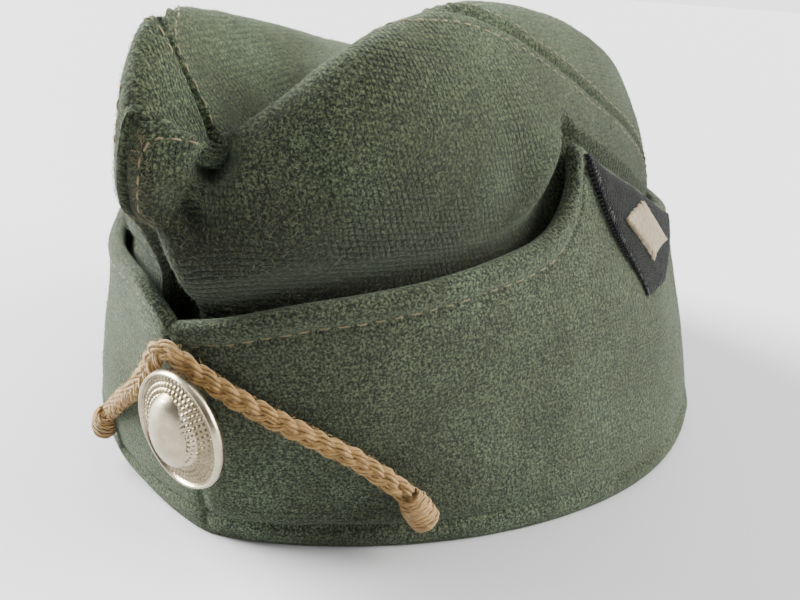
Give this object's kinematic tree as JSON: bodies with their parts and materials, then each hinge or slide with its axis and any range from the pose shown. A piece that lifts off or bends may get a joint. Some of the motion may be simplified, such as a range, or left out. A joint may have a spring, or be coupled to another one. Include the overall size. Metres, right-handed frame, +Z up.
{
  "type": "garrison cap",
  "caption": "Soft wool garrison cap with a folded two-ridged crown, a turned-up curtain with a chevron cord and a plain button at its front, and a small plain patch on its left.",
  "frame": {"origin": "middle of the cap's box, in the plane that the rim rests on", "axes": "+Z up out of the crown; -Y out of the front seam; +X to the wearer's left"},
  "size_m": [0.1718, 0.2182, 0.1063],
  "materials": {
    "wool": "coarse felted wool, field grey-green, matt",
    "braid": "tan braided cord, matt",
    "whipping": "tan thread, wound, matt",
    "nickel": "pressed and worn, silver-grey",
    "patch_wool": "charcoal wool, matt",
    "motif_thread": "pale beige embroidery thread"
  },
  "bodies": {
    "root": {"crown_side_left": "wool", "crown_side_right": "wool", "crown_top": "wool", "curtain_left": "wool", "curtain_right": "wool", "chevron_cord": "braid", "cord_end_left": "whipping", "cord_end_right": "whipping", "button": "nickel", "badge_patch": "patch_wool", "badge_motif": "motif_thread"}
  },
  "joints": []
}
